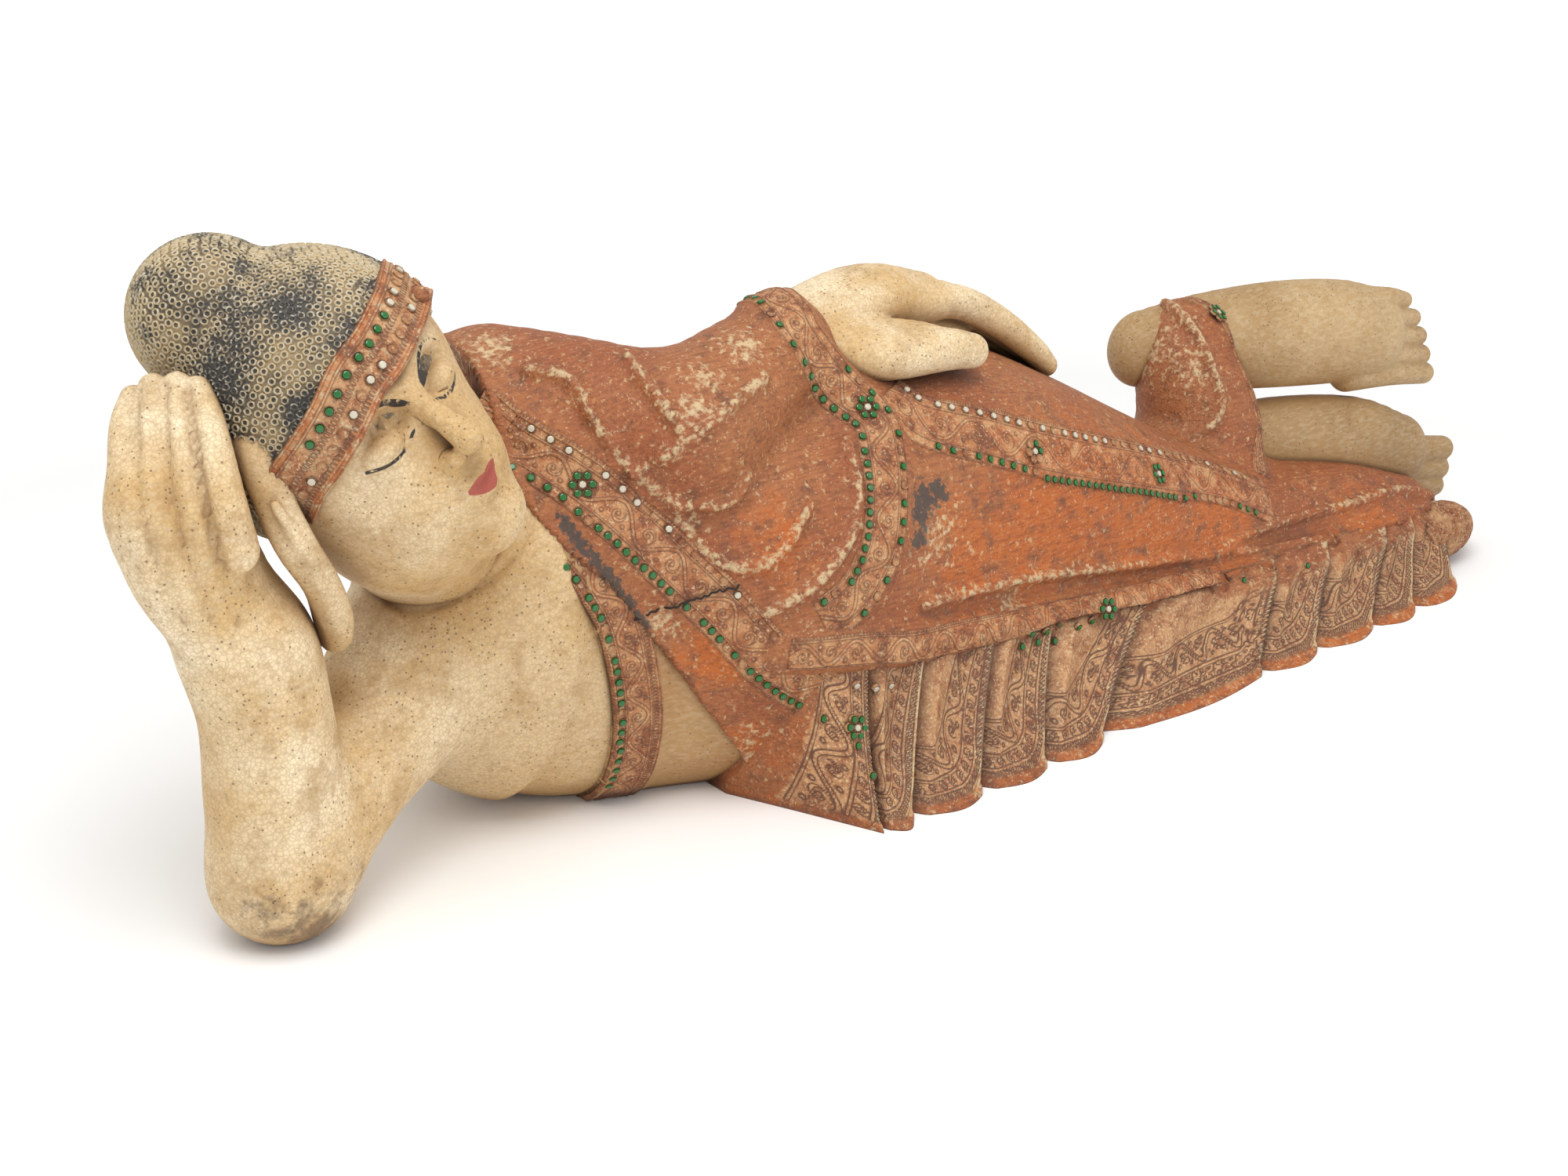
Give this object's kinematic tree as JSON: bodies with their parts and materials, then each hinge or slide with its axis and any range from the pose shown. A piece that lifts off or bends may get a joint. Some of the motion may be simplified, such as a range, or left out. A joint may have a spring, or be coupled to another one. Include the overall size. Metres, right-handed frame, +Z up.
{
  "type": "reclining buddha statue",
  "caption": "Carved wooden reclining buddha on its right side, head propped on one hand, robe with pleated hem, studded borders and small glass inlays.",
  "frame": {"origin": "on the flat underside, below the middle of the robe", "axes": "+X from the head to the feet, -Y out of the figure's front, +Z up"},
  "size_m": [1.2998, 0.3429, 0.4183],
  "materials": {
    "lacquered_wood": "worn red-brown lacquer and cream gesso over carved wood",
    "green_glass": "green mirror-backed glass set in lacquer, opaque from outside"
  },
  "bodies": {
    "root": {"figure": "lacquered_wood", "rosette_1": "green_glass", "rosette_2": "green_glass", "rosette_3": "green_glass", "rosette_4": "green_glass", "rosette_5": "green_glass", "rosette_6": "green_glass", "stud_chest_1": "green_glass", "stud_chest_2": "green_glass", "stud_chest_3": "green_glass", "stud_chest_4": "green_glass", "stud_chest_5": "green_glass", "stud_chest_6": "green_glass", "stud_chest_7": "green_glass", "stud_chest_8": "green_glass", "stud_diagonal_1": "green_glass", "stud_diagonal_10": "green_glass", "stud_diagonal_11": "green_glass", "stud_diagonal_12": "green_glass", "stud_diagonal_13": "green_glass", "stud_diagonal_14": "green_glass", "stud_diagonal_2": "green_glass", "stud_diagonal_3": "green_glass", "stud_diagonal_4": "green_glass", "stud_diagonal_5": "green_glass", "stud_diagonal_6": "green_glass", "stud_diagonal_7": "green_glass", "stud_diagonal_8": "green_glass", "stud_diagonal_9": "green_glass", "stud_loop_1": "green_glass", "stud_loop_2": "green_glass", "stud_loop_3": "green_glass", "stud_loop_4": "green_glass", "stud_loop_5": "green_glass", "stud_loop_6": "green_glass", "stud_waist_1": "green_glass", "stud_waist_10": "green_glass", "stud_waist_11": "green_glass", "stud_waist_12": "green_glass", "stud_waist_2": "green_glass", "stud_waist_3": "green_glass", "stud_waist_4": "green_glass", "stud_waist_5": "green_glass", "stud_waist_6": "green_glass", "stud_waist_7": "green_glass", "stud_waist_8": "green_glass", "stud_waist_9": "green_glass"}
  },
  "joints": []
}
